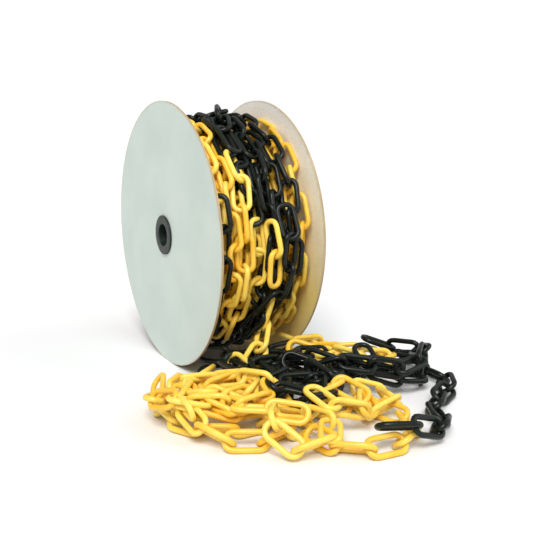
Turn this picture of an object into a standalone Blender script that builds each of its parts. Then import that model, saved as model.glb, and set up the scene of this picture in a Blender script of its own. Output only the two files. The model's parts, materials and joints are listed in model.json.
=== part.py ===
"""Yellow and black plastic barrier chain on a cardboard reel, part of it paid out on the floor.

The reel stands on the rims of its two flanges, with its axis along X. The loose chain lies
in a heap in front of it, towards -Y. The origin is on the floor, under the middle of the
reel. Units are metres.
"""

import itertools
import math

import bpy
import numpy as np
from mathutils import Matrix, Vector

# Reel
REEL_RADIUS = 0.160
REEL_WIDTH = 0.130
BOARD = 0.0025
DISC_STEPS = 96
AXIS_HEIGHT = REEL_RADIUS * math.cos(math.pi / DISC_STEPS)
INNER_FACE = REEL_WIDTH / 2 - BOARD
GAP = 0.0003

# Cardboard core and its plastic bushes
CORE_OUTER = 0.025
CORE_INNER = 0.020
BUSH_BORE = 0.0134
BUSH_RIM = 0.024
BUSH_PROUD = 0.0024
BUSH_DEPTH = 0.030
BUSH_ROUNDING = 0.0008
ROUND_STEPS = 40

# Chain wound on the core
WOUND_RADIUS = 0.142
WOUND_SHOULDER = 0.134
WOUND_FLAT_SHARE = 0.7
WOUND_STEPS = 48

# Chain link
WIRE = 0.0055
LINK_LENGTH = 0.047
LINK_WIDTH = 0.024
END_RADIUS = (LINK_WIDTH - WIRE) / 2
HALF_STRAIGHT = (LINK_LENGTH - LINK_WIDTH) / 2
END_REACH = HALF_STRAIGHT + END_RADIUS
ARC_POINTS = 6
SHORTEST_PITCH = 0.0310
LONGEST_PITCH = 0.0340
LEAST_LEAN = 38
MOST_LEAN = 52

# How the loose chain is laid
CLEARANCE = WIRE + 0.0001
JOINT_FLOOR = 0.0092
SAMPLES_PER_SIDE = 9
SEED = 21

# Routes of the loose chain over the floor. A coil is (first centre, last centre, first
# radius, last radius, first angle, sweep), in metres and degrees, and a point is (x, y).
YELLOW_ROUTE = [
    ((-0.090, -0.176), (-0.082, -0.234), 0.054, 0.056, 60, 560),
    (-0.040, -0.276),
    ((0.010, -0.302), (0.012, -0.302), 0.054, 0.054, 100, -300),
]
BLACK_ROUTE = [
    (-0.058, -0.094),
    (-0.024, -0.100),
    (0.010, -0.120),
    (0.030, -0.150),
    (0.054, -0.180),
    ((0.120, -0.214), (0.130, -0.224), 0.052, 0.054, 120, -195),
    (0.116, -0.290),
    (0.102, -0.316),
    (0.086, -0.340),
    (0.062, -0.358),
    (0.030, -0.352),
    (0.002, -0.336),
]
DROP_ROUTE = [
    (0.006, -0.122),
    (-0.002, -0.136),
    (-0.020, -0.150),
    (-0.050, -0.156),
    (-0.084, -0.148),
]
DROP_START = 0.066
COIL_STEP = 40
MOST_WAYS = 8
NEIGHBOURS = 3
CROSSING_REACH = 0.012
LAYER_LIFT = 0.012
STEEPEST_RAMP = 0.28
STEEPEST_CLIMB = 0.6
LOOK_AHEAD = 90
TAIL_LINKS = 7
PATH_REACH = 0.95

# Ways to put down one link, in millimetres and degrees, and what each costs against the rest
RISES = (-8, -5, -2, 0, 2, 4, 7, 10)
TILTS = (0, 12, -12, 25, -25, 42, -42)
SHIFTS = (0, 5, -5)
SLACKS = (0, 2)
TILT_COST = 0.08
SHIFT_COST = 0.4
SLACK_COST = 0.3

YELLOW = (0.88, 0.50, 0.03)
BLACK = (0.012, 0.014, 0.014)
BOARD_COLOUR = (0.60, 0.66, 0.62)
KRAFT = (0.42, 0.30, 0.18)
MOULDED_ROUGHNESS = 0.35
BOARD_ROUGHNESS = 0.6
KRAFT_ROUGHNESS = 0.8


def clear_scene():
    for obj in list(bpy.data.objects):
        bpy.data.objects.remove(obj, do_unlink=True)


def new_collection(name):
    collection = bpy.data.collections.new(name)
    bpy.context.scene.collection.children.link(collection)
    return collection


def new_material(name, colour, roughness):
    material = bpy.data.materials.new(name)
    material.use_nodes = True
    shader = material.node_tree.nodes["Principled BSDF"]
    shader.inputs["Base Color"].default_value = (*colour, 1.0)
    shader.inputs["Roughness"].default_value = roughness
    shader.inputs["Metallic"].default_value = 0.0
    material.diffuse_color = (*colour, 1.0)
    return material


# --- Reel ---


def turned(name, profile, steps, material, collection):
    """A solid turned about the reel's axis. The profile is a closed loop of (x, radius)."""
    mesh = bpy.data.meshes.new(name)
    count = len(profile)
    points = [(radius, 0.0, along) for along, radius in profile]
    mesh.from_pydata(points, [(i, (i + 1) % count) for i in range(count)], [])
    mesh.materials.append(material)
    obj = bpy.data.objects.new(name, mesh)
    collection.objects.link(obj)
    screw = obj.modifiers.new("turn", "SCREW")
    screw.axis = "Z"
    screw.angle = 2 * math.pi
    screw.steps = screw.render_steps = steps
    screw.use_merge_vertices = True
    screw.merge_threshold = 0.00001
    half_step = Matrix.Rotation(math.pi / steps, 4, "Z")
    lay_down = Matrix.Rotation(math.pi / 2, 4, "Y")
    obj.matrix_world = Matrix.Translation((0, 0, AXIS_HEIGHT)) @ lay_down @ half_step
    return obj


def washer(inner, outer, low, high):
    """Profile of a flat ring from x = low to x = high."""
    return [(high, inner), (high, outer), (low, outer), (low, inner)]


def flange(name, side, material, collection):
    faces = sorted([side * INNER_FACE, side * REEL_WIDTH / 2])
    turned(name, washer(CORE_INNER, REEL_RADIUS, *faces), DISC_STEPS, material, collection)


def bush(name, side, material, collection):
    """A flanged bush: its rim lies on the flange and its sleeve sits in the core."""
    back = REEL_WIDTH / 2 + GAP
    front = REEL_WIDTH / 2 + BUSH_PROUD
    sleeve = CORE_INNER - GAP
    profile = [
        (front, BUSH_BORE),
        (front, BUSH_RIM - BUSH_ROUNDING),
        (front - BUSH_ROUNDING, BUSH_RIM),
        (back, BUSH_RIM),
        (back, sleeve),
        (front - BUSH_DEPTH, sleeve),
        (front - BUSH_DEPTH, BUSH_BORE),
    ]
    if side < 0:
        profile = [(-along, radius) for along, radius in reversed(profile)]
    turned(name, profile, ROUND_STEPS, material, collection)


def wound_chain(material, collection):
    """The body of wound links, as one crowned ring round the core."""
    edge = INNER_FACE - GAP
    flat = edge * WOUND_FLAT_SHARE
    profile = [
        (edge, CORE_OUTER + GAP),
        (edge, WOUND_SHOULDER),
        (flat, WOUND_RADIUS),
        (-flat, WOUND_RADIUS),
        (-edge, WOUND_SHOULDER),
        (-edge, CORE_OUTER + GAP),
    ]
    turned("wound_chain", profile, WOUND_STEPS, material, collection)


def build_reel(materials, collection):
    flange("front_flange", -1, materials["board"], collection)
    flange("rear_flange", 1, materials["board"], collection)
    length = INNER_FACE - GAP
    core = washer(CORE_INNER, CORE_OUTER, -length, length)
    turned("core_tube", core, ROUND_STEPS, materials["kraft"], collection)
    bush("front_bush", -1, materials["black"], collection)
    bush("rear_bush", 1, materials["black"], collection)
    wound_chain(materials["yellow"], collection)


# --- Links ---


def link_outline():
    """Points along the centre line of a link's wire, in the link's own XY plane."""
    half_turn = [math.pi * (k / (ARC_POINTS - 1) - 0.5) for k in range(ARC_POINTS)]
    return [
        Vector((end * (HALF_STRAIGHT + END_RADIUS * math.cos(a)), end * END_RADIUS * math.sin(a), 0))
        for end in (1, -1)
        for a in half_turn
    ]


def sampled_outline():
    """Closely spaced points on the same centre line, to measure gaps with."""
    corners = np.array(link_outline())
    spans = np.roll(corners, -1, axis=0) - corners
    points = []
    for corner, span in zip(corners, spans):
        pieces = max(2, round(np.linalg.norm(span) / (2 * HALF_STRAIGHT) * SAMPLES_PER_SIDE))
        points += [corner + span * k / pieces for k in range(pieces)]
    return np.array(points)


def link_curve(name, material):
    curve = bpy.data.curves.new(name, "CURVE")
    curve.dimensions = "3D"
    curve.bevel_depth = WIRE / 2
    curve.bevel_resolution = 1
    outline = link_outline()
    spline = curve.splines.new("POLY")
    spline.points.add(len(outline) - 1)
    for point, place in zip(spline.points, outline):
        point.co = (*place, 1.0)
    spline.use_cyclic_u = True
    curve.materials.append(material)
    return curve


def link_place(near, far, roll):
    """World matrix of a link that reaches from joint to joint. A roll of 0 lays it flat."""
    along = (far - near).normalized()
    level = Vector((-along.y, along.x, 0)).normalized()
    across = math.cos(roll) * level + math.sin(roll) * along.cross(level)
    turn = Matrix((along, across, along.cross(across))).transposed().to_4x4()
    return Matrix.Translation((near + far) / 2) @ turn


# --- Laying the loose chain ---


def corners_of(route):
    """The (x, y) corners of a route, with each coil turned into points."""
    corners = []
    for entry in route:
        if len(entry) == 2:
            corners.append(entry)
            continue
        first, last, first_radius, last_radius, start, sweep = entry
        steps = round(abs(sweep) / COIL_STEP)
        for k in range(steps + 1):
            part = k / steps
            angle = math.radians(start + sweep * part)
            centre = np.array(first) * (1 - part) + np.array(last) * part
            radius = first_radius * (1 - part) + last_radius * part
            corners.append(centre + radius * np.array((math.cos(angle), math.sin(angle))))
    return np.array(corners)


def smooth_route(route, per_span=20):
    """A Catmull-Rom curve through a route's corners, as many closely spaced points."""
    corners = corners_of(route)
    p = np.vstack([2 * corners[0] - corners[1], corners, 2 * corners[-1] - corners[-2]])
    t = np.linspace(0, 1, per_span, endpoint=False)[:, None]
    spans = [
        0.5
        * (
            2 * b
            + (c - a) * t
            + (2 * a - 5 * b + 4 * c - d) * t**2
            + (3 * b - a - 3 * c + d) * t**3
        )
        for a, b, c, d in zip(p, p[1:], p[2:], p[3:])
    ]
    return np.vstack([*spans, corners[-1:]])


def reel_gap(points):
    """Distance from points to the reel, taken as a drum of chain between two discs."""
    radius = np.hypot(points[:, 1], points[:, 2] - AXIS_HEIGHT)
    middle = REEL_WIDTH / 2 - BOARD / 2
    gaps = []
    for centre, half, outer in (
        (-middle, BOARD / 2, REEL_RADIUS),
        (middle, BOARD / 2, REEL_RADIUS),
        (0.0, INNER_FACE, WOUND_RADIUS),
    ):
        beside = np.maximum(np.abs(points[:, 0] - centre) - half, 0)
        outside = np.maximum(radius - outer, 0)
        gaps.append(np.hypot(beside, outside).min())
    return min(gaps)


class Heap:
    """The links laid so far, each as sampled points of its wire's centre line."""

    def __init__(self):
        self.outline = sampled_outline()
        self.links = []
        self.centres = []

    def points_of(self, place):
        turn = np.array(place.to_3x3())
        return self.outline @ turn.T + np.array(place.translation)

    def is_clear(self, place):
        points = self.points_of(place)
        if points[:, 2].min() < WIRE / 2 or reel_gap(points) < CLEARANCE - WIRE / 2:
            return False
        centre = np.array(place.translation)
        for other_centre, other in zip(self.centres, self.links):
            if np.linalg.norm(centre - other_centre) > LINK_LENGTH + CLEARANCE:
                continue
            apart = points[:, None] - other[None]
            if (apart**2).sum(axis=-1).min() < CLEARANCE**2:
                return False
        return True

    def add(self, place):
        self.links.append(self.points_of(place))
        self.centres.append(np.array(place.translation))

    def drop_last(self):
        self.links.pop()
        self.centres.pop()


def needed_heights(heap, path):
    """How high the chain runs along a path, rising in time to pass over what is laid."""
    laid = np.vstack([np.empty((0, 3)), *heap.links[:-NEIGHBOURS]])
    heights = np.full(len(path), JOINT_FLOOR)
    if len(laid):
        for i, point in enumerate(path):
            under = np.hypot(*(laid[:, :2] - point).T) < CROSSING_REACH
            if under.any():
                heights[i] = laid[under, 2].max() + LAYER_LIFT
    step = np.linalg.norm(np.diff(path, axis=0), axis=1) * STEEPEST_RAMP
    for i in range(len(path) - 1):
        heights[i + 1] = max(heights[i + 1], heights[i] - step[i])
    for i in reversed(range(len(path) - 1)):
        heights[i] = max(heights[i], heights[i + 1] - step[i])
    return heights


def choices(lean):
    """Ways to put down a link, best first: height, roll, sideways shift and slack."""
    found = []
    for rise, tilt, shift, slack in itertools.product(RISES, TILTS, SHIFTS, SLACKS):
        effort = abs(tilt) * TILT_COST + abs(shift) * SHIFT_COST + slack * SLACK_COST
        found.append((rise + effort, rise, lean + math.radians(tilt), shift, slack))
    return [
        (rise / 1000, roll, shift / 1000, slack / 1000)
        for _, rise, roll, shift, slack in sorted(found)
    ]


def clear_ways(heap, path, link):
    """Every clear way to put down the link after this one, best first.

    A link is (joint, place along the path, direction back along the chain, side), and a
    way adds the new link's matrix. None means that the path has ended.
    """
    joint, at, back, side, rng = link
    pitch = rng.uniform(SHORTEST_PITCH, LONGEST_PITCH)
    lean = side * math.radians(rng.uniform(LEAST_LEAN, MOST_LEAN))
    ahead_path = path[at : at + LOOK_AHEAD]
    heights = needed_heights(heap, ahead_path)
    for rise, roll, shift, slack in choices(lean):
        near = joint + back * slack
        away = np.linalg.norm(ahead_path - np.array(near.xy), axis=1)
        beyond = np.nonzero(away >= PATH_REACH * pitch)[0]
        if not len(beyond):
            yield None
            return
        ahead = beyond[0]
        climb = max(JOINT_FLOOR, heights[ahead] + rise) - near.z
        climb = max(min(climb, STEEPEST_CLIMB * pitch), -STEEPEST_CLIMB * pitch)
        level = math.sqrt(pitch**2 - climb**2)
        heading = Vector(ahead_path[ahead]) - near.xy
        sideways = Vector((-heading.y, heading.x)).normalized() * shift
        flat_step = (heading + sideways).normalized() * level
        far = Vector((*(near.xy + flat_step), near.z + climb))
        place = link_place(near, far, roll)
        if heap.is_clear(place):
            yield far, at + ahead, place


def lay(heap, route, start_height, rng):
    """Lays links along a route, each as low as what lies under it allows. Returns their places.

    Where a link has no room, the links before it are put down another way.
    """
    path = smooth_route(route)
    start = (Vector((*path[0], start_height)), 0, Vector(), 1, rng)
    trail = [itertools.islice(clear_ways(heap, path, start), MOST_WAYS)]
    places = []
    side = 1
    while trail:
        found = next(trail[-1], "stuck")
        if found is None:
            return places
        if found == "stuck":
            trail.pop()
            if places:
                places.pop()
                heap.drop_last()
            side = -side
            continue
        far, ahead, place = found
        heap.add(place)
        places.append(place)
        side = -side
        link = (far, ahead, -place.col[0].xyz, side, rng)
        trail.append(itertools.islice(clear_ways(heap, path, link), MOST_WAYS))
    raise ValueError(f"no room for a chain from {tuple(path[0])}")


# --- Placing the loose chain ---


def add_link(name, curve, place, collection, parent=None):
    link = bpy.data.objects.new(name, curve)
    collection.objects.link(link)
    if parent:
        link.parent = parent
    link.matrix_world = place
    return link


def add_tail(places, curve, collection):
    """The free run of chain. Each link turns about the end wire of the one before it."""
    parent = None
    for number, (before, place) in enumerate(zip(places[:-1], places[1:]), 1):
        pivot = bpy.data.objects.new(f"tail_pivot_{number}", None)
        collection.objects.link(pivot)
        pivot.empty_display_size = WIRE
        pivot.parent = parent
        pivot.matrix_world = before @ Matrix.Translation((END_REACH, 0, 0))
        bpy.context.view_layer.update()
        add_link(f"tail_link_{number}", curve, place, collection, pivot)
        parent = pivot


def build_loose_chain(materials, collection):
    rng = np.random.default_rng(SEED)
    heap = Heap()
    yellow = link_curve("yellow_link", materials["yellow"])
    black = link_curve("black_link", materials["black"])
    yellow_places = lay(heap, YELLOW_ROUTE, JOINT_FLOOR, rng)
    black_places = lay(heap, BLACK_ROUTE, JOINT_FLOOR, rng)
    drop_places = lay(heap, DROP_ROUTE, DROP_START, rng)
    for number, place in enumerate(yellow_places, 1):
        add_link(f"yellow_link_{number:02}", yellow, place, collection)
    held = len(black_places) - TAIL_LINKS
    for number, place in enumerate(black_places[:held], 1):
        add_link(f"black_link_{number:02}", black, place, collection)
    add_tail(black_places[held - 1 :], black, collection)
    for number, place in enumerate(drop_places, 1):
        add_link(f"drop_link_{number}", yellow, place, collection)


def main():
    clear_scene()
    collection = new_collection("chain_reel")
    materials = {
        "yellow": new_material("yellow_plastic", YELLOW, MOULDED_ROUGHNESS),
        "black": new_material("black_plastic", BLACK, MOULDED_ROUGHNESS),
        "board": new_material("white_lined_board", BOARD_COLOUR, BOARD_ROUGHNESS),
        "kraft": new_material("kraft_board", KRAFT, KRAFT_ROUGHNESS),
    }
    build_reel(materials, collection)
    build_loose_chain(materials, collection)
    bpy.context.view_layer.update()


main()
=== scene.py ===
"""Plastic barrier chain on a cardboard reel, part of it paid out in a heap on the floor.

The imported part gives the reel, the links on the floor layer of the heap and the tail that
lifts. Here every link gets its smooth moulded shape, the wound ring becomes real links wound
in layers, and more links lie over the floor layer. Lengths are metres. Places on the reel
are (angle, x, radius): the angle is in degrees from straight down, past the front (-Y).
"""

import json
import math

import bpy
import numpy as np
from mathutils import Matrix, Vector


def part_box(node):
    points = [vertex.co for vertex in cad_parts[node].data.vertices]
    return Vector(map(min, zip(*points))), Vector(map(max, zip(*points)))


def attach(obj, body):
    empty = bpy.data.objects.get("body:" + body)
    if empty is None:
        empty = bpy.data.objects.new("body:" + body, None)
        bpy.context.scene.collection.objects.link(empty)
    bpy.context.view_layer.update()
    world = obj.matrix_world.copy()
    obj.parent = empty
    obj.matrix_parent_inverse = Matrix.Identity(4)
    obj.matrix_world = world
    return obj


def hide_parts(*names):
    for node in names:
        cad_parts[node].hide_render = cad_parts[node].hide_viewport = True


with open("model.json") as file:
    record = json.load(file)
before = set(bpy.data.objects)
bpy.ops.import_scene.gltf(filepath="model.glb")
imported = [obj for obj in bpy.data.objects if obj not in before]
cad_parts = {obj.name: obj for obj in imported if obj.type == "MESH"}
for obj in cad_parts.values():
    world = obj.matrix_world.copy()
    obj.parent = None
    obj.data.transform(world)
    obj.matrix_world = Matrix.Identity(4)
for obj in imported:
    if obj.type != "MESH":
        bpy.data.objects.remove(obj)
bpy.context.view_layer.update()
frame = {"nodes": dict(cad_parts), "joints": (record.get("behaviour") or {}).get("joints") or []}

# Reel, as packed
FRONT_LOW, FRONT_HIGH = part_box("front_flange")
REAR_LOW, REAR_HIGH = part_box("rear_flange")
BUSH_LOW, BUSH_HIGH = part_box("front_bush")
AXIS_HEIGHT = (FRONT_LOW.z + FRONT_HIGH.z) / 2
REEL_RADIUS = (FRONT_HIGH.y - FRONT_LOW.y) / 2
INNER_FACE = REAR_LOW.x
BOARD = REAR_HIGH.x - REAR_LOW.x

# Bushes
BUSH_BORE = 0.0134
BUSH_RIM = (BUSH_HIGH.y - BUSH_LOW.y) / 2
BUSH_SLEEVE = 0.0197
BUSH_GAP = 0.0003
BUSH_ROUNDING = 0.0007
BUSH_STEPS = 96

# Chain link
WIRE = 0.0060
LINK_LENGTH = 0.0462
LINK_WIDTH = 0.0242
END_RADIUS = (LINK_WIDTH - WIRE) / 2
HALF_STRAIGHT = (LINK_LENGTH - LINK_WIDTH) / 2
END_SQUARENESS = 0.90
LOOSE_PITCH = 0.0325
WOUND_PITCH = 0.0340

# Putting links down: costs for each metre that a link lies in something
OVERLAP_COST = 6000
BLOCKED_COST = 6000
NEIGHBOUR_REACH = 0.056

# Wound chain. The outer layers, which can be seen, have finely shaped links.
OUTER_LAYER = 0.1330
LAYER_STEP = 0.0168
LAYERS = 6
FINE_LAYERS = 3
STRANDS = 8
STAGGER = 0.003
EDGE_ROOM = 0.0105
FLANGE_GAP = 0.0004
BACK_ANGLE = 330.0
MOVE_OVER_FROM = 0.80
MOVE_OVER_PART = 0.20
SWAY = 0.0022
LINKS_PER_SWAY = 5
BOB = 0.0012
LINKS_PER_BOB = 4
WOUND_LEAN = 45
LEAN_SPREAD = 10
SLACK_SAMPLES = 200

# How much further out the wound surface reaches than the outer layer's joints
WOUND_BULGE = 0.012

SEED = 7


# --- Link shape ---


def link_centre_line(arc_steps, side_steps):
    """Points along the centre line of a link's wire, in its own XY plane."""
    points = []
    for end in (1, -1):
        for k in range(arc_steps + 1):
            angle = math.pi * (k / arc_steps - 0.5)
            c, s = math.cos(angle), math.sin(angle)
            x = HALF_STRAIGHT + END_RADIUS * max(c, 0.0) ** END_SQUARENESS
            y = END_RADIUS * math.copysign(abs(s) ** END_SQUARENESS, s)
            points.append((end * x, end * y))
        for k in range(1, side_steps):
            x = HALF_STRAIGHT * (1 - 2 * k / side_steps)
            points.append((end * x, end * END_RADIUS))
    return np.array(points)


def link_shape(arc_steps, side_steps, round_steps):
    """Vertices, faces and seam value of one link. The seam is 0 on the mould's parting line."""
    line = link_centre_line(arc_steps, side_steps)
    tangent = np.roll(line, -1, axis=0) - np.roll(line, 1, axis=0)
    tangent /= np.linalg.norm(tangent, axis=1)[:, None]
    outward = np.stack([tangent[:, 1], -tangent[:, 0]], axis=1)
    turn = np.arange(round_steps) * 2 * math.pi / round_steps
    flat = line[:, None] + outward[:, None] * (WIRE / 2 * np.cos(turn))[None, :, None]
    height = np.broadcast_to(WIRE / 2 * np.sin(turn), flat.shape[:2])
    verts = np.concatenate([flat, height[..., None]], axis=2).reshape(-1, 3)
    seam = np.broadcast_to(np.abs(np.sin(turn)), flat.shape[:2]).reshape(-1)
    count = len(line)
    i, j = np.meshgrid(np.arange(count), np.arange(round_steps), indexing="ij")
    i2, j2 = (i + 1) % count, (j + 1) % round_steps
    corners = [a * round_steps + b for a, b in ((i, j), (i, j2), (i2, j2), (i2, j))]
    faces = np.stack(corners, axis=-1).reshape(-1, 4)
    return verts, faces, seam


# Links by their steps round each end, along each side and round the wire
FINE = link_shape(9, 3, 12)
COARSE = link_shape(5, 2, 8)
OUTLINE = link_centre_line(7, 6)


def links_object(name, places, shape, material, rng):
    """One mesh holding a link at each place. A place is (centre, along, across)."""
    verts, faces, seam = shape
    all_verts, all_faces = [], []
    for k, (centre, along, across) in enumerate(places):
        turn = np.stack([along, across, np.cross(along, across)])
        all_verts.append(verts @ turn + centre)
        all_faces.append(faces + k * len(verts))
    mesh = bpy.data.meshes.new(name)
    mesh.from_pydata(np.concatenate(all_verts), [], np.concatenate(all_faces))
    mesh.shade_smooth()
    tone = np.repeat(rng.random(len(places)), len(verts))
    attribute = mesh.attributes.new("tone", "FLOAT", "POINT")
    attribute.data.foreach_set("value", tone.astype(np.float32))
    attribute = mesh.attributes.new("seam", "FLOAT", "POINT")
    attribute.data.foreach_set("value", np.tile(seam, len(places)).astype(np.float32))
    mesh.materials.append(material)
    obj = bpy.data.objects.new(name, mesh)
    bpy.context.scene.collection.objects.link(obj)
    return obj


def join(objects, name):
    """Joins mesh objects into the first and names it."""
    bpy.ops.object.select_all(action="DESELECT")
    for obj in objects:
        obj.select_set(True)
    bpy.context.view_layer.objects.active = objects[0]
    bpy.ops.object.join()
    objects[0].name = name
    return objects[0]


# --- Putting links down ---


def unit(v):
    return v / np.linalg.norm(v)


def place_between(near, far, roll, outward):
    """A link from joint to joint. At a roll of 0 its face looks along outward."""
    along = unit(far - near)
    side = unit(np.cross(outward, along))
    up = np.cross(along, side)
    return (near + far) / 2, along, math.cos(roll) * side + math.sin(roll) * up


def points_of(place):
    centre, along, across = place
    return centre + OUTLINE[:, :1] * along + OUTLINE[:, 1:2] * across


class Pile:
    """The links put down so far, as points along their wires."""

    def __init__(self):
        self.centres = np.empty((0, 3))
        self.points = np.empty((0, len(OUTLINE), 3))

    def add(self, place):
        self.centres = np.vstack([self.centres, place[0]])
        self.points = np.concatenate([self.points, points_of(place)[None]])

    def overlap(self, place, near):
        """How deep this link lies in the links at the indices near, in metres."""
        if not len(near):
            return 0.0
        apart = points_of(place)[:, None] - self.points[near].reshape(1, -1, 3)
        least = math.sqrt((apart**2).sum(axis=-1).min())
        return max(0.0, WIRE - least)

    def near(self, centre):
        away = np.linalg.norm(self.centres - centre, axis=1)
        return np.nonzero(away < NEIGHBOUR_REACH)[0]


def best_place(pile, options, blocked):
    """The cheapest option, where lying in another link or a wall costs most."""
    near = pile.near(options[0][1][0])
    best = None
    for cost, place, end in options:
        if best and cost >= best[0]:
            break
        overlap = pile.overlap(place, near)
        cost += OVERLAP_COST * overlap + BLOCKED_COST * blocked(points_of(place))
        if best is None or cost < best[0]:
            best = (cost, place, end)
    return best[1], best[2]


# --- Wound chain ---


def on_reel(angle, x, radius):
    turn = math.radians(angle)
    return np.array((x, -radius * math.sin(turn), AXIS_HEIGHT - radius * math.cos(turn)))


def outward_at(point):
    return unit(np.array((0.0, point[1], point[2] - AXIS_HEIGHT)))


def wandering(count, every, rng):
    """A smooth random run of numbers between -1 and 1."""
    knots = rng.uniform(-1, 1, count // every + 3)
    return np.interp(np.arange(count) / every, np.arange(len(knots)), knots)


def past_flange(points):
    """How far a link's points reach into a flange."""
    over = np.abs(points[:, 0]).max() + WIRE / 2 - (INNER_FACE - FLANGE_GAP)
    return max(0.0, over)


# Ways to put the next link on the reel, from the cheapest, as (cost, tilt in degrees, shift
# and lift in millimetres)
WOUND_TILT_COST = 0.05
WOUND_SHIFT_COST = 0.5
WOUND_LIFT_COST = 0.35
WOUND_TILTS = (0, 15, -15, 30, -30)
WOUND_SHIFTS = (0, 3, -3)
WOUND_LIFTS = (-1, 1, 3)
WOUND_CHOICES = sorted(
    (
        abs(tilt) * WOUND_TILT_COST + abs(shift) * WOUND_SHIFT_COST
        + (lift + 1) * WOUND_LIFT_COST,
        tilt, shift, lift,
    )
    for tilt in WOUND_TILTS
    for shift in WOUND_SHIFTS
    for lift in WOUND_LIFTS
)
INNER_CHOICES = WOUND_CHOICES[:12]


def wind(pile, path, rng, choices):
    """Lays links on the reel along a path of (angle, x, radius), each near its neighbours."""
    places = []
    near = on_reel(*path[0])
    side = 1
    for angle, x, radius in path[1:]:
        spread = rng.uniform(-LEAN_SPREAD, LEAN_SPREAD)
        lean = side * math.radians(WOUND_LEAN + spread)
        options = []
        for cost, tilt, shift, lift in choices:
            far = on_reel(angle, x + shift / 1000, radius + lift / 1000)
            far = near + unit(far - near) * WOUND_PITCH
            roll = lean + math.radians(tilt)
            place = place_between(near, far, roll, outward_at(near + far))
            options.append((cost, place, far))
        place, near = best_place(pile, options, past_flange)
        pile.add(place)
        places.append(place)
        side = -side
    return places


def layer_path(layer, rng):
    """The way of one layer: side by side turns, each shifted over at the back of the reel."""
    radius = OUTER_LAYER - layer * LAYER_STEP
    strands = STRANDS if layer % 2 == 0 else STRANDS - 1
    edge = INNER_FACE - EDGE_ROOM
    pitch = 2 * edge / (STRANDS - 1)
    first = -edge if layer % 2 == 0 else -edge + pitch / 2
    step = math.degrees(WOUND_PITCH / radius)
    count = int(360 * strands / step)
    sway = wandering(count + 1, LINKS_PER_SWAY, rng)
    bob = wandering(count + 1, LINKS_PER_BOB, rng)
    path = []
    for k in range(count + 1):
        total = k * step
        strand = int(total // 360)
        part = total / 360 - strand
        over = min(max((part - MOVE_OVER_FROM) / MOVE_OVER_PART, 0.0), 1.0)
        across = first + pitch * min(strand + over, strands - 1)
        lift = STAGGER * math.cos(math.pi * (strand + over))
        if layer % 2:
            across = -across
        angle = BACK_ANGLE + total
        path.append((angle, across + SWAY * sway[k], radius + lift + BOB * bob[k]))
    return path


# Where the outer layer changes colour: (angle, x) along each edge of the black band
LEFT_EDGE = (
    (0, -0.060), (30, -0.040), (44, -0.014), (60, -0.006), (76, 0.002), (92, 0.009),
    (101, -0.008), (112, -0.012), (135, -0.020), (150, -0.026), (180, -0.030),
    (240, -0.026), (300, -0.044), (360, -0.060),
)
RIGHT_EDGE = (
    (0, 0.026), (35, 0.030), (60, 0.040), (100, 0.043), (180, 0.044), (300, 0.048), (360, 0.026),
)
SLIVER_EDGE = -0.043
SLIVER_ANGLES = (30, 118)

# The black band of the layers below. At the front and the sides it is set in from the outer
# layer's edges, and from the top on the second layer has a band of its own.
SECOND_INSETS = (0.010, 0.006)
DEEP_INSETS = (0.012, 0.010)
TOP_ANGLE = 125
SECOND_BAND = (-0.008, 0.018)


def is_black(place, layer):
    """The chain changes colour in long runs. This gives the runs as they lie on the reel."""
    x, y, z = place[0]
    angle = math.degrees(math.atan2(-y, AXIS_HEIGHT - z)) % 360
    left = np.interp(angle, *zip(*LEFT_EDGE))
    right = np.interp(angle, *zip(*RIGHT_EDGE))
    if layer == 0:
        in_sliver = x < SLIVER_EDGE and SLIVER_ANGLES[0] < angle < SLIVER_ANGLES[1]
        return in_sliver or left < x < right
    if layer == 1 and angle >= TOP_ANGLE:
        return SECOND_BAND[0] < x < SECOND_BAND[1]
    insets = SECOND_INSETS if layer == 1 else DEEP_INSETS
    return left + insets[0] < x < right - insets[1]


# Slack chain over the outer layer: (angle, x, radius) where each strand bends
BLACK_SLACK = (
    (108, 0.026, 0.140), (96, 0.030, 0.146), (84, 0.026, 0.149), (74, 0.014, 0.151),
    (66, 0.006, 0.151), (57, -0.002, 0.151), (47, -0.012, 0.150), (36, -0.024, 0.147),
)
BLACK_CROSSING = (
    (140, -0.012, 0.138), (156, -0.016, 0.142), (170, -0.004, 0.145), (184, 0.014, 0.145),
    (198, 0.026, 0.141),
)
YELLOW_SLACK = (
    (101, 0.006, 0.140), (94, 0.011, 0.147), (84, 0.010, 0.149), (72, 0.001, 0.147),
    (64, -0.004, 0.139),
)
DROP_TOP = ((52.4, 0.006, 0.154), (65, 0.010, 0.140))

# The slack strands in the order they are laid, as (corners, whether black)
SLACK_STRANDS = (
    (DROP_TOP, False),
    (YELLOW_SLACK, False),
    (BLACK_SLACK, True),
    (BLACK_CROSSING, True),
)


def slack_path(corners):
    """Evenly spaced joints along a slack strand's corners."""
    corners = np.array(corners)
    knots = np.arange(len(corners))
    fine = np.linspace(0, len(corners) - 1, SLACK_SAMPLES)
    dense = np.stack([np.interp(fine, knots, c) for c in corners.T], axis=1)
    spots = np.array([on_reel(*p) for p in dense])
    steps = np.linalg.norm(np.diff(spots, axis=0), axis=1)
    run = np.concatenate([[0], np.cumsum(steps)])
    marks = np.arange(0, run[-1], WOUND_PITCH)
    return [tuple(np.interp(m, run, c) for c in dense.T) for m in marks]


def wind_reel(rng):
    """The places of all the wound links, keyed by whether black and whether finely shaped."""
    pile = Pile()
    found = {(black, fine): [] for black in (True, False) for fine in (True, False)}
    for layer in reversed(range(LAYERS)):
        path = layer_path(layer, rng)
        choices = WOUND_CHOICES if layer < FINE_LAYERS else INNER_CHOICES
        for place in wind(pile, path, rng, choices):
            found[is_black(place, layer), layer < FINE_LAYERS].append(place)
    for corners, black in SLACK_STRANDS:
        found[black, True] += wind(pile, slack_path(corners), rng, WOUND_CHOICES)
    return found


# --- Loose chain ---


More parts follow.
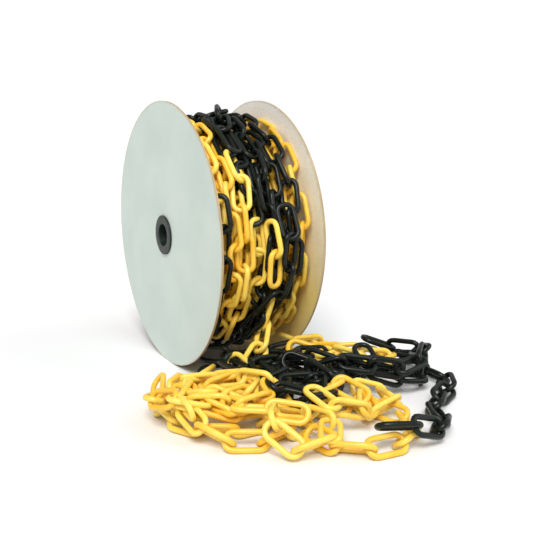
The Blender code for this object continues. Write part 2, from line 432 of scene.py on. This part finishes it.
def place_of_node(name):
    """Centre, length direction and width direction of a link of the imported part."""
    verts = np.array([v.co for v in frame["nodes"][name].data.vertices])
    centre = verts.mean(axis=0)
    _, axes = np.linalg.eigh(np.cov((verts - centre).T))
    return centre, axes[:, 2], axes[:, 1]


# Extra chain over the floor layer, in the order it is laid, as (colour, route). A route is made
# of points (x, y) and coils (first centre, last centre, first radius, last radius, first angle,
# sweep), with the angles in degrees.
EXTRA_ROUTES = (
    ("black", (((-0.004, -0.168), (0.012, -0.200), 0.051, 0.050, 190, -520),)),
    ("yellow", (
        (-0.128, -0.128), ((-0.096, -0.190), (-0.096, -0.240), 0.050, 0.048, 160, 400),
    )),
    ("yellow", (((-0.092, -0.160), (-0.086, -0.250), 0.049, 0.050, 20, -420),)),
    ("black", (((0.036, -0.150), (0.026, -0.202), 0.050, 0.048, 70, 430),)),
    ("yellow", (((-0.054, -0.304), (-0.050, -0.300), 0.030, 0.027, 180, 400),)),
    ("black", (
        (0.092, -0.132), (0.126, -0.136), (0.160, -0.142), (0.184, -0.160), (0.182, -0.194),
        (0.160, -0.222), (0.124, -0.236), (0.090, -0.226), (0.072, -0.196),
    )),
    ("yellow", (
        (0.050, -0.100), (0.085, -0.098), (0.112, -0.118), (0.140, -0.150), (0.138, -0.186),
        (0.108, -0.190), (0.084, -0.164), (0.058, -0.142), (0.046, -0.120), (0.070, -0.118),
    )),
    ("black", (
        (-0.050, -0.082), (-0.036, -0.112), (-0.008, -0.136), (0.020, -0.160),
        (0.050, -0.186), (0.036, -0.222), (0.000, -0.226), (-0.034, -0.216),
        (-0.040, -0.250), (-0.008, -0.262),
    )),
    ("yellow", (
        (-0.062, -0.128), (-0.100, -0.150), (-0.122, -0.190), (-0.110, -0.238),
        (-0.078, -0.262), (-0.050, -0.236), (-0.060, -0.196), (-0.094, -0.184),
        (-0.104, -0.222), (-0.088, -0.268), (-0.052, -0.292), (-0.016, -0.290),
    )),
    ("black", (
        (0.004, -0.176), (0.036, -0.206), (0.066, -0.226), (0.100, -0.234), (0.134, -0.228),
    )),
    ("yellow", (
        (0.046, -0.244), (0.080, -0.256), (0.068, -0.286), (0.036, -0.294), (0.020, -0.270),
        (0.050, -0.262),
    )),
    ("black", (((0.138, -0.196), (0.134, -0.200), 0.046, 0.044, 100, -330),)),
    ("black", (((-0.014, -0.232), (-0.012, -0.226), 0.040, 0.032, 40, -380),)),
    ("yellow", (((0.064, -0.128), (0.068, -0.134), 0.026, 0.026, 200, 300),)),
    ("yellow", (((0.004, -0.280), (0.014, -0.274), 0.030, 0.024, 150, 400),)),
)
COIL_STEP = 30
SPLINE_STEPS = 20
JUMBLE = 0.006

# How the chain climbs over what lies under it
FLOOR_JOINT = 0.0092
HIGHEST_JOINT = 0.040
STEEPEST_RAMP = 0.30
STEEPEST_CLIMB = 0.6
UNDER_REACH = 0.012
LAYER_LIFT = 0.0115
OWN_LINKS = 3
LOOK_AHEAD = 90
PATH_REACH = 0.95
LEAST_LEAN = 28
MOST_LEAN = 62

# What is kept free for the tail: the floor beside it, and where it passes as it lifts
TAIL_ROOM = 0.016
SWEEP_LIFTS = (5, 12, 20, 28, 35)
SWEEP_GRID = 0.003
SWEEP_ROOM = 0.0095
SWEEP_TOP = 0.060
SWEEP_BACK = -0.190

# Ways to put the next loose link down, from the cheapest, as (cost, rise in millimetres, tilt
# in degrees, shift in millimetres)
LOOSE_TILT_COST = 0.06
LOOSE_SHIFT_COST = 0.4
LOOSE_RISES = (-8, -5, -2, 0, 2, 4, 7, 10)
LOOSE_TILTS = (0, 12, -12, 25, -25, 42, -42)
LOOSE_SHIFTS = (0, 5, -5)
LOOSE_CHOICES = sorted(
    (rise + abs(tilt) * LOOSE_TILT_COST + abs(shift) * LOOSE_SHIFT_COST, rise, tilt, shift)
    for rise in LOOSE_RISES
    for tilt in LOOSE_TILTS
    for shift in LOOSE_SHIFTS
)


def route_points(route, rng):
    """Close points along a route: its corners, jumbled a little and rounded by a spline."""
    corners = []
    for entry in route:
        if len(entry) == 2:
            corners.append(entry)
            continue
        first, last, first_radius, last_radius, start, sweep = entry
        steps = round(abs(sweep) / COIL_STEP)
        for part in np.arange(steps + 1) / steps:
            angle = math.radians(start + sweep * part)
            centre = np.array(first) * (1 - part) + np.array(last) * part
            radius = first_radius * (1 - part) + last_radius * part
            spoke = np.array((math.cos(angle), math.sin(angle)))
            corners.append(centre + radius * spoke)
    p = np.array(corners)
    p += rng.uniform(-JUMBLE, JUMBLE, p.shape)
    p = np.vstack([2 * p[0] - p[1], p, 2 * p[-1] - p[-2]])
    t = np.linspace(0, 1, SPLINE_STEPS, endpoint=False)[:, None]
    spans = [
        0.5 * (2 * b + (c - a) * t + (2 * a - 5 * b + 4 * c - d) * t**2
               + (3 * b - a - 3 * c + d) * t**3)
        for a, b, c, d in zip(p, p[1:], p[2:], p[3:])
    ]
    return np.vstack(spans)


def heights_along(path, laid):
    """How high the chain runs along a path, rising in time to pass over what is laid."""
    heights = np.full(len(path), FLOOR_JOINT)
    for i, point in enumerate(path):
        under = np.hypot(*(laid[:, :2] - point).T) < UNDER_REACH
        if under.any():
            heights[i] = min(laid[under, 2].max() + LAYER_LIFT, HIGHEST_JOINT)
    step = np.linalg.norm(np.diff(path, axis=0), axis=1) * STEEPEST_RAMP
    for i in range(len(path) - 1):
        heights[i + 1] = max(heights[i + 1], heights[i] - step[i])
    for i in reversed(range(len(path) - 1)):
        heights[i] = max(heights[i], heights[i + 1] - step[i])
    return heights


def tail_sweep(places):
    """Where the tail's wires pass as each joint lifts alone and as all of them lift."""
    joints = frame["joints"]
    settings = [[lift] * len(joints) for lift in SWEEP_LIFTS]
    for one in range(len(joints)):
        for lift in SWEEP_LIFTS:
            settings.append([lift * (k == one) for k in range(len(joints))])
    found = []
    for lifts in settings:
        turn = Matrix.Identity(4)
        for joint, lift in zip(joints, lifts):
            pivot = Matrix.Translation(joint["pos_m"])
            swing = Matrix.Rotation(math.radians(lift), 4, Vector(joint["axis"]))
            turn = turn @ pivot @ swing @ pivot.inverted()
            points = points_of(places[joint["child"]])
            found.append(points @ np.array(turn.to_3x3()).T + np.array(turn.translation))
    cells = np.round(np.concatenate(found) / SWEEP_GRID).astype(int)
    points = np.unique(cells, axis=0) * SWEEP_GRID
    return points[points[:, 2] < SWEEP_TOP]


def lay(pile, route, tail, sweep, rng):
    """Lays links along a route, over what is there and clear of the tail and the reel."""

    def blocked(points):
        """How far a link's points reach into the floor, the reel and the room of the tail."""
        low = max(0.0, WIRE / 2 - points[:, 2].min())
        radius = np.hypot(points[:, 1], points[:, 2] - AXIS_HEIGHT)
        within = np.abs(points[:, 0]) < REAR_HIGH.x + WIRE / 2
        disc = np.where(within, REEL_RADIUS + WIRE / 2 - radius, 0)
        inside = np.abs(points[:, 0]) < INNER_FACE - WIRE / 2
        drum = np.where(inside, OUTER_LAYER + WOUND_BULGE + WIRE / 2 - radius, 0)
        reel = max(0.0, np.where(inside, drum, disc).max())
        if points[:, 1].min() > SWEEP_BACK:
            return low + reel
        apart = points[:, None, :2] - tail[None]
        beside = math.sqrt((apart**2).sum(axis=-1).min())
        apart = points[:, None] - sweep[None]
        closest = math.sqrt((apart**2).sum(axis=-1).min())
        in_tail = max(0.0, TAIL_ROOM - beside)
        return low + reel + in_tail + max(0.0, SWEEP_ROOM - closest)

    path = route_points(route, rng)
    start_height = heights_along(path, pile.points.reshape(-1, 3))[0]
    near = np.array((*path[0], start_height))
    up = np.array((0, 0, 1.0))
    most_climb = STEEPEST_CLIMB * LOOSE_PITCH
    at, side, places = 0, 1, []
    while True:
        ahead_path = path[at : at + LOOK_AHEAD]
        away = np.linalg.norm(ahead_path - near[:2], axis=1)
        beyond = np.nonzero(away >= PATH_REACH * LOOSE_PITCH)[0]
        if not len(beyond):
            return places
        ahead = beyond[0]
        own = min(OWN_LINKS, len(places))
        settled = pile.points[: len(pile.points) - own].reshape(-1, 3)
        height = heights_along(ahead_path, settled)[ahead]
        heading = ahead_path[ahead] - near[:2]
        lean = side * math.radians(rng.uniform(LEAST_LEAN, MOST_LEAN))
        options = []
        for cost, rise, tilt, shift in LOOSE_CHOICES:
            climb = max(FLOOR_JOINT, height + rise / 1000) - near[2]
            climb = max(min(climb, most_climb), -most_climb)
            level = math.sqrt(LOOSE_PITCH**2 - climb**2)
            sideways = unit(np.array((-heading[1], heading[0]))) * shift / 1000
            step = unit(heading + sideways) * level
            far = near + np.array((*step, climb))
            place = place_between(near, far, lean + math.radians(tilt), up)
            options.append((cost, place, far))
        place, near = best_place(pile, options, blocked)
        pile.add(place)
        places.append(place)
        at += ahead
        side = -side


# --- Materials ---

# Colours, darker or deeper one first where two are mixed
YELLOW_DEEP, YELLOW_BRIGHT = (0.930, 0.520, 0.030), (0.970, 0.720, 0.120)
BLACK_DEEP, BLACK_BRIGHT = (0.0030, 0.0052, 0.0036), (0.0085, 0.0125, 0.0090)
BUSH_DEEP, BUSH_BRIGHT = (0.006, 0.012, 0.008), (0.014, 0.024, 0.017)
PAPER_COOL, PAPER_PALE = (0.560, 0.645, 0.588), (0.612, 0.692, 0.634)
PAPER_FIBRE = (0.74, 0.80, 0.75)
# The inner buff runs from painted shade low down, warm with light thrown off the yellow chain,
# through the board's own buff, to painted light at the top.
BUFF_PAINTED_WARM_SHADE, BUFF_MIDDLE, BUFF_PAINTED_TOP_LIGHT = (0.88, 0.68, 0.16), (0.96, 0.88, 0.63), (0.98, 0.965, 0.92)
BUFF_MOTTLE, BUFF_FIBRE = (0.80, 0.72, 0.58), (0.70, 0.60, 0.44)
SPECK, WORN_EDGE = (0.45, 0.40, 0.30), (0.56, 0.46, 0.30)
PLY_DARK, PLY_PALE = (0.34, 0.24, 0.12), (0.56, 0.43, 0.25)
KRAFT_DARK, KRAFT_PALE, KRAFT_JOINT = (0.36, 0.24, 0.13), (0.52, 0.38, 0.23), (0.20, 0.13, 0.07)
FLOOR_DARK, FLOOR_PALE = (0.90, 0.90, 0.90), (0.93, 0.93, 0.93)
SUBSURFACE_SCALE = 0.003
SUBSURFACE_RADIUS = (1.0, 0.45, 0.12)


class Nodes:
    """Short ways to add nodes to a material."""

    def __init__(self, name):
        self.material = bpy.data.materials.new(name)
        self.material.use_nodes = True
        self.tree = self.material.node_tree
        self.shader = self.tree.nodes["Principled BSDF"]
        self.coords = self.tree.nodes.new("ShaderNodeTexCoord").outputs["Object"]

    def link(self, value, socket):
        if isinstance(value, bpy.types.NodeSocket):
            self.tree.links.new(value, socket)
        else:
            socket.default_value = value

    def math(self, operation, a, b=0.0, c=0.0):
        node = self.tree.nodes.new("ShaderNodeMath")
        node.operation = operation
        for value, socket in zip((a, b, c), node.inputs):
            self.link(value, socket)
        return node.outputs[0]

    def weighted(self, *terms):
        """The sum of terms of (value, weight)."""
        total = None
        for value, weight in terms:
            part = self.math("MULTIPLY", value, weight)
            total = part if total is None else self.math("ADD", total, part)
        return total

    def noise(self, scale, detail=3.0, vector=None, roughness=0.5):
        node = self.tree.nodes.new("ShaderNodeTexNoise")
        self.link(vector or self.coords, node.inputs["Vector"])
        node.inputs["Scale"].default_value = scale
        node.inputs["Detail"].default_value = detail
        node.inputs["Roughness"].default_value = roughness
        return node.outputs["Fac"]

    def stretched(self, scale, turn=(0.0, 0.0, 0.0)):
        node = self.tree.nodes.new("ShaderNodeMapping")
        self.link(self.coords, node.inputs["Vector"])
        node.inputs["Scale"].default_value = scale
        node.inputs["Rotation"].default_value = turn
        return node.outputs[0]

    def span(self, value, low, high, to_low=0.0, to_high=1.0):
        node = self.tree.nodes.new("ShaderNodeMapRange")
        node.interpolation_type = "SMOOTHSTEP"
        self.link(value, node.inputs["Value"])
        self.link(low, node.inputs["From Min"])
        self.link(high, node.inputs["From Max"])
        self.link(to_low, node.inputs["To Min"])
        self.link(to_high, node.inputs["To Max"])
        return node.outputs["Result"]

    def mix(self, factor, a, b):
        node = self.tree.nodes.new("ShaderNodeMix")
        node.data_type = "RGBA"
        self.link(factor, node.inputs["Factor"])
        for value, socket in ((a, node.inputs[6]), (b, node.inputs[7])):
            self.link((*value, 1.0) if isinstance(value, tuple) else value, socket)
        return node.outputs[2]

    def attribute(self, name):
        node = self.tree.nodes.new("ShaderNodeAttribute")
        node.attribute_name = name
        return node.outputs["Fac"]

    def xyz(self):
        node = self.tree.nodes.new("ShaderNodeSeparateXYZ")
        self.link(self.coords, node.inputs[0])
        return node.outputs

    def reel_radius(self):
        """The distance from the reel's axis."""
        _, y, z = self.xyz()
        z = self.math("SUBTRACT", z, AXIS_HEIGHT)
        return self.math("SQRT", self.weighted((y, y), (z, z)))

    def bump(self, height, distance):
        node = self.tree.nodes.new("ShaderNodeBump")
        self.link(height, node.inputs["Height"])
        node.inputs["Distance"].default_value = distance
        self.link(node.outputs[0], self.shader.inputs["Normal"])

    def set(self, **values):
        for name, value in values.items():
            self.link(value, self.shader.inputs[name.replace("_", " ")])
        return self.material


def moulded(name, deep, bright, roughness, subsurface, relief, specular):
    """Satin moulded plastic: clouding in the colour, flow marks, and the mould's parting line."""
    n = Nodes(name)
    clouds = n.noise(scale=45, detail=4)
    share = n.weighted((n.attribute("tone"), 0.55), (clouds, 0.9))
    colour = n.mix(n.span(share, 0.35, 1.05), deep, bright)
    flow = n.noise(scale=260, detail=3)
    skin = n.noise(scale=1500, detail=2)
    line = n.span(n.attribute("seam"), 0.02, 0.16, to_low=1.0, to_high=0.0)
    n.bump(n.weighted((flow, 0.35), (skin, 0.12), (line, 0.28)), relief)
    scuffs = n.span(n.noise(scale=120, detail=6, roughness=0.7), 0.56, 0.72)
    satin = n.span(flow, 0.3, 0.7, to_low=roughness - 0.05, to_high=roughness + 0.06)
    rough = n.math("ADD", satin, n.math("MULTIPLY", scuffs, 0.10))
    n.set(
        Base_Color=colour, Roughness=rough, Specular_IOR_Level=specular,
        Subsurface_Weight=subsurface, Subsurface_Scale=SUBSURFACE_SCALE,
    )
    n.shader.inputs["Subsurface Radius"].default_value = SUBSURFACE_RADIUS
    return n.material


def lined_board(name, side):
    """Board lined with paper: pale on its outer face, buff inside with painted warm shade low
    down and painted light near the top, tan where it is cut.
    """
    n = Nodes(name)
    x, _, z = n.xyz()
    height = n.math("SUBTRACT", z, AXIS_HEIGHT)
    radius = n.reel_radius()
    mottle = n.span(n.noise(scale=14, detail=4), 0.3, 0.7)
    along = n.stretched(scale=(1.0, 1.0, 0.16), turn=(0.5, 0, 0))
    across = n.stretched(scale=(1.0, 0.16, 1.0), turn=(0.35, 0, 0))
    fibre = n.math(
        "MAXIMUM",
        n.noise(scale=420, detail=5, vector=along, roughness=0.65),
        n.noise(scale=420, detail=5, vector=across, roughness=0.65),
    )

    outer = n.mix(mottle, PAPER_COOL, PAPER_PALE)
    seen_fibre = n.math("MULTIPLY", n.span(fibre, 0.5, 0.75), 0.16)
    outer = n.mix(seen_fibre, outer, PAPER_FIBRE)

    # Painted light and shade on the inner face: darker and more orange towards the bottom as
    # painted shade, paler towards the top as painted light.
    inner = n.mix(n.span(height, -0.09, 0.03), BUFF_PAINTED_WARM_SHADE, BUFF_MIDDLE)
    inner = n.mix(n.span(height, 0.0, 0.15), inner, BUFF_PAINTED_TOP_LIGHT)
    inner = n.mix(n.math("MULTIPLY", mottle, 0.25), inner, BUFF_MOTTLE)
    seen_fibre = n.math("MULTIPLY", n.span(fibre, 0.48, 0.72), 0.30)
    inner = n.mix(seen_fibre, inner, BUFF_FIBRE)

    middle = INNER_FACE + BOARD / 2
    is_outer = n.math("GREATER_THAN", n.math("MULTIPLY", x, side), middle)
    face = n.mix(is_outer, inner, outer)
    specks = n.span(n.noise(scale=900, detail=2), 0.66, 0.74)
    face = n.mix(n.math("MULTIPLY", specks, 0.25), face, SPECK)
    ragged = n.math("MULTIPLY", n.noise(scale=160, detail=5), 0.004)
    to_rim = n.math("ADD", radius, ragged)
    wear = n.span(to_rim, REEL_RADIUS - 0.0006, REEL_RADIUS + 0.0022)
    face = n.mix(n.math("MULTIPLY", wear, 0.6), face, WORN_EDGE)

    plies = n.noise(scale=1.0, detail=2, vector=n.stretched(scale=(2600, 30, 30)))
    cut = n.mix(n.span(plies, 0.3, 0.7), PLY_DARK, PLY_PALE)
    from_middle = n.math("ABSOLUTE", n.math("SUBTRACT", n.math("ABSOLUTE", x), middle))
    between_faces = n.math("LESS_THAN", from_middle, BOARD * 0.46)
    at_rim = n.math("GREATER_THAN", radius, REEL_RADIUS * 0.998)
    colour = n.mix(n.math("MULTIPLY", between_faces, at_rim), face, cut)

    dents = n.noise(scale=30, detail=3)
    n.bump(n.weighted((fibre, 0.5), (dents, 1.6)), 0.0004)
    rough = n.span(fibre, 0.4, 0.7, to_low=0.50, to_high=0.68)
    return n.set(Base_Color=colour, Roughness=rough, Specular_IOR_Level=0.35)


def kraft_tube(name):
    """A tube wound from kraft paper: spiral joints and fibres."""
    n = Nodes(name)
    x, y, z = n.xyz()
    turn = n.math("ARCTAN2", y, n.math("SUBTRACT", z, AXIS_HEIGHT))
    turns = n.math("DIVIDE", turn, 2 * math.pi)
    turns_per_metre = 22.0
    advance = n.math("MULTIPLY", x, turns_per_metre)
    spiral = n.math("FRACT", n.math("ADD", advance, turns))
    to_joint = n.math("ABSOLUTE", n.math("SUBTRACT", spiral, 0.5))
    joint = n.span(to_joint, 0.0, 0.02, to_low=1.0, to_high=0.0)
    along = n.stretched(scale=(0.2, 1.0, 1.0))
    fibre = n.noise(scale=600, detail=5, vector=along, roughness=0.65)
    colour = n.mix(fibre, KRAFT_DARK, KRAFT_PALE)
    colour = n.mix(n.math("MULTIPLY", joint, 0.6), colour, KRAFT_JOINT)
    n.bump(n.math("SUBTRACT", n.math("MULTIPLY", fibre, 0.4), joint), 0.0003)
    rough = n.span(fibre, 0.3, 0.7, to_low=0.72, to_high=0.88)
    return n.set(Base_Color=colour, Roughness=rough)


def bush_plastic(name):
    """Black moulded bush: fine spark texture and faint turning marks round the rim."""
    n = Nodes(name)
    rings = n.math("SINE", n.math("MULTIPLY", n.reel_radius(), 9000))
    spark = n.noise(scale=1800, detail=3)
    colour = n.mix(n.noise(scale=60, detail=4), BUSH_DEEP, BUSH_BRIGHT)
    n.bump(n.weighted((spark, 0.5), (rings, 0.06)), 0.0003)
    rough = n.span(spark, 0.3, 0.7, to_low=0.36, to_high=0.52)
    return n.set(Base_Color=colour, Roughness=rough, Specular_IOR_Level=0.4)


# --- Turned pieces ---


def fillet(corner, before, after, radius, steps=5):
    """Points that round a profile corner."""
    corner, before, after = (np.array(p, float) for p in (corner, before, after))
    start = corner + unit(before - corner) * radius
    end = corner + unit(after - corner) * radius
    t = np.linspace(0, 1, steps)[:, None]
    return (1 - t) ** 2 * start + 2 * t * (1 - t) * corner + t**2 * end


def turned(name, corners, rounding, steps, material):
    """A ring turned about the reel's axis from corners of (x, radius), each one rounded."""
    profile = np.vstack([
        fillet(corner, corners[k - 1], corners[(k + 1) % len(corners)], rounding)
        for k, corner in enumerate(corners)
    ])
    turn = np.arange(steps) * 2 * math.pi / steps
    x = np.broadcast_to(profile[None, :, 0], (steps, len(profile)))
    y = profile[None, :, 1] * np.cos(turn)[:, None]
    z = profile[None, :, 1] * np.sin(turn)[:, None] + AXIS_HEIGHT
    verts = np.stack([x, y, z], axis=-1).reshape(-1, 3)
    count = len(profile)
    i, j = np.meshgrid(np.arange(steps), np.arange(count), indexing="ij")
    i2, j2 = (i + 1) % steps, (j + 1) % count
    corners = [a * count + b for a, b in ((i, j), (i, j2), (i2, j2), (i2, j))]
    mesh = bpy.data.meshes.new(name)
    mesh.from_pydata(verts, [], np.stack(corners, axis=-1).reshape(-1, 4))
    mesh.shade_smooth()
    mesh.materials.append(material)
    obj = bpy.data.objects.new(name, mesh)
    bpy.context.scene.collection.objects.link(obj)
    return obj


def make_bush(name, node, material):
    """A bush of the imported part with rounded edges: rim outside, sleeve inside."""
    low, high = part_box(node)
    side = 1 if high.x > 0 else -1
    front, back = (high.x, low.x) if side > 0 else (low.x, high.x)
    shoulder = side * (REAR_HIGH.x + BUSH_GAP)
    corners = [
        (front, BUSH_BORE), (front, BUSH_RIM), (shoulder, BUSH_RIM),
        (shoulder, BUSH_SLEEVE), (back, BUSH_SLEEVE), (back, BUSH_BORE),
    ]
    if side > 0:
        corners.reverse()
    bush = turned(name, corners, BUSH_ROUNDING, BUSH_STEPS, material)
    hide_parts(node)
    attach(bush, "root")


# --- Build ---

rng = np.random.default_rng(SEED)
yellow = moulded(
    "yellow_moulded", YELLOW_DEEP, YELLOW_BRIGHT,
    roughness=0.31, subsurface=0.12, relief=0.00035, specular=0.5,
)
black = moulded(
    "black_moulded", BLACK_DEEP, BLACK_BRIGHT,
    roughness=0.30, subsurface=0.0, relief=0.00018, specular=0.28,
)
COLOURS = {"yellow": yellow, "black": black}

for node, side in (("front_flange", -1), ("rear_flange", 1)):
    frame["nodes"][node].data.materials.clear()
    frame["nodes"][node].data.materials.append(lined_board(node + "_board", side))
frame["nodes"]["core_tube"].data.materials.clear()
frame["nodes"]["core_tube"].data.materials.append(kraft_tube("kraft_paper"))
bush_material = bush_plastic("bush_moulded")
make_bush("front_bush_moulded", "front_bush", bush_material)
make_bush("rear_bush_moulded", "rear_bush", bush_material)

wound = wind_reel(rng)
for colour in ("yellow", "black"):
    is_dark = colour == "black"
    fine = links_object("fine", wound[is_dark, True], FINE, COLOURS[colour], rng)
    coarse = links_object("coarse", wound[is_dark, False], COARSE, COLOURS[colour], rng)
    piece = join([fine, coarse], f"wound_{colour}_links")
    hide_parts("wound_chain")
    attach(piece, "root")

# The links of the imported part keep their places, and the extra routes go over them
heap = {"yellow": [], "black": []}
names = {"yellow": [], "black": []}
tail_places = {}
loose = Pile()
for node in sorted(frame["nodes"]):
    if "_link_" not in node:
        continue
    place = place_of_node(node)
    loose.add(place)
    if node.startswith("tail"):
        tail_places[node] = place
        continue
    colour = "black" if node.startswith("black") else "yellow"
    heap[colour].append(place)
    names[colour].append(node)
tail = np.concatenate([points_of(p) for p in tail_places.values()])[:, :2]
sweep = tail_sweep(tail_places)
for colour, route in EXTRA_ROUTES:
    heap[colour] += lay(loose, route, tail, sweep, rng)
for colour in ("yellow", "black"):
    piece = links_object(f"heap_{colour}_links", heap[colour], FINE, COLOURS[colour], rng)
    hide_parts(*names[colour])
    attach(piece, "root")
for node, place in tail_places.items():
    piece = links_object(node + "_moulded", [place], FINE, black, rng)
    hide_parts(node)
    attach(piece, node)

# --- Floor, light and camera ---

FLOOR_SIZE = 60
WORLD_SEEN = 1.0
WORLD_LIGHT = 0.42
WHITE = (1, 1, 1, 1)
CAMERA_AT = (-0.4221, -0.9016, 0.3218)
CAMERA_YAW = math.radians(28.97)
CAMERA_PITCH = math.radians(11.82)
CAMERA_LENS = 54.03
CAMERA_SENSOR = 36

bpy.ops.mesh.primitive_plane_add(size=FLOOR_SIZE)
floor = bpy.context.object
floor.name = "floor"
paper = Nodes("floor_paper")
paper_colour = paper.mix(paper.noise(scale=3, detail=2), FLOOR_DARK, FLOOR_PALE)
paper.set(Base_Color=paper_colour, Roughness=0.9, Specular_IOR_Level=0.0)
floor.data.materials.append(paper.material)

scene = bpy.context.scene
scene.view_settings.view_transform = "Standard"
scene.world = bpy.data.worlds.new("studio")
scene.world.use_nodes = True
tree = scene.world.node_tree
tree.nodes.clear()
seen = tree.nodes.new("ShaderNodeBackground")
seen.inputs["Strength"].default_value = WORLD_SEEN
lighting = tree.nodes.new("ShaderNodeBackground")
lighting.inputs["Strength"].default_value = WORLD_LIGHT
seen.inputs["Color"].default_value = WHITE
lighting.inputs["Color"].default_value = WHITE
choose = tree.nodes.new("ShaderNodeMixShader")
light_path = tree.nodes.new("ShaderNodeLightPath")
output = tree.nodes.new("ShaderNodeOutputWorld")
tree.links.new(light_path.outputs["Is Camera Ray"], choose.inputs[0])
tree.links.new(lighting.outputs[0], choose.inputs[1])
tree.links.new(seen.outputs[0], choose.inputs[2])
tree.links.new(choose.outputs[0], output.inputs["Surface"])


def sun(name, towards, strength, spread):
    """A sun that stands towards a direction and looks this many degrees wide."""
    light = bpy.data.lights.new(name, "SUN")
    light.energy = strength
    light.angle = math.radians(spread)
    lamp = bpy.data.objects.new(name, light)
    lamp.rotation_euler = Vector(towards).to_track_quat("Z", "Y").to_euler()
    scene.collection.objects.link(lamp)


sun("key", towards=(-0.40, -0.55, 0.80), strength=2.5, spread=28)
sun("fill", towards=(0.70, -0.45, 0.60), strength=0.8, spread=50)

camera_data = bpy.data.cameras.new("camera")
camera_data.lens = CAMERA_LENS
camera_data.sensor_width = CAMERA_SENSOR
camera = bpy.data.objects.new("camera", camera_data)
camera.location = CAMERA_AT
forward = Vector((
    math.sin(CAMERA_YAW) * math.cos(CAMERA_PITCH),
    math.cos(CAMERA_YAW) * math.cos(CAMERA_PITCH),
    -math.sin(CAMERA_PITCH),
))
camera.rotation_euler = forward.to_track_quat("-Z", "Y").to_euler()
scene.collection.objects.link(camera)
scene.camera = camera
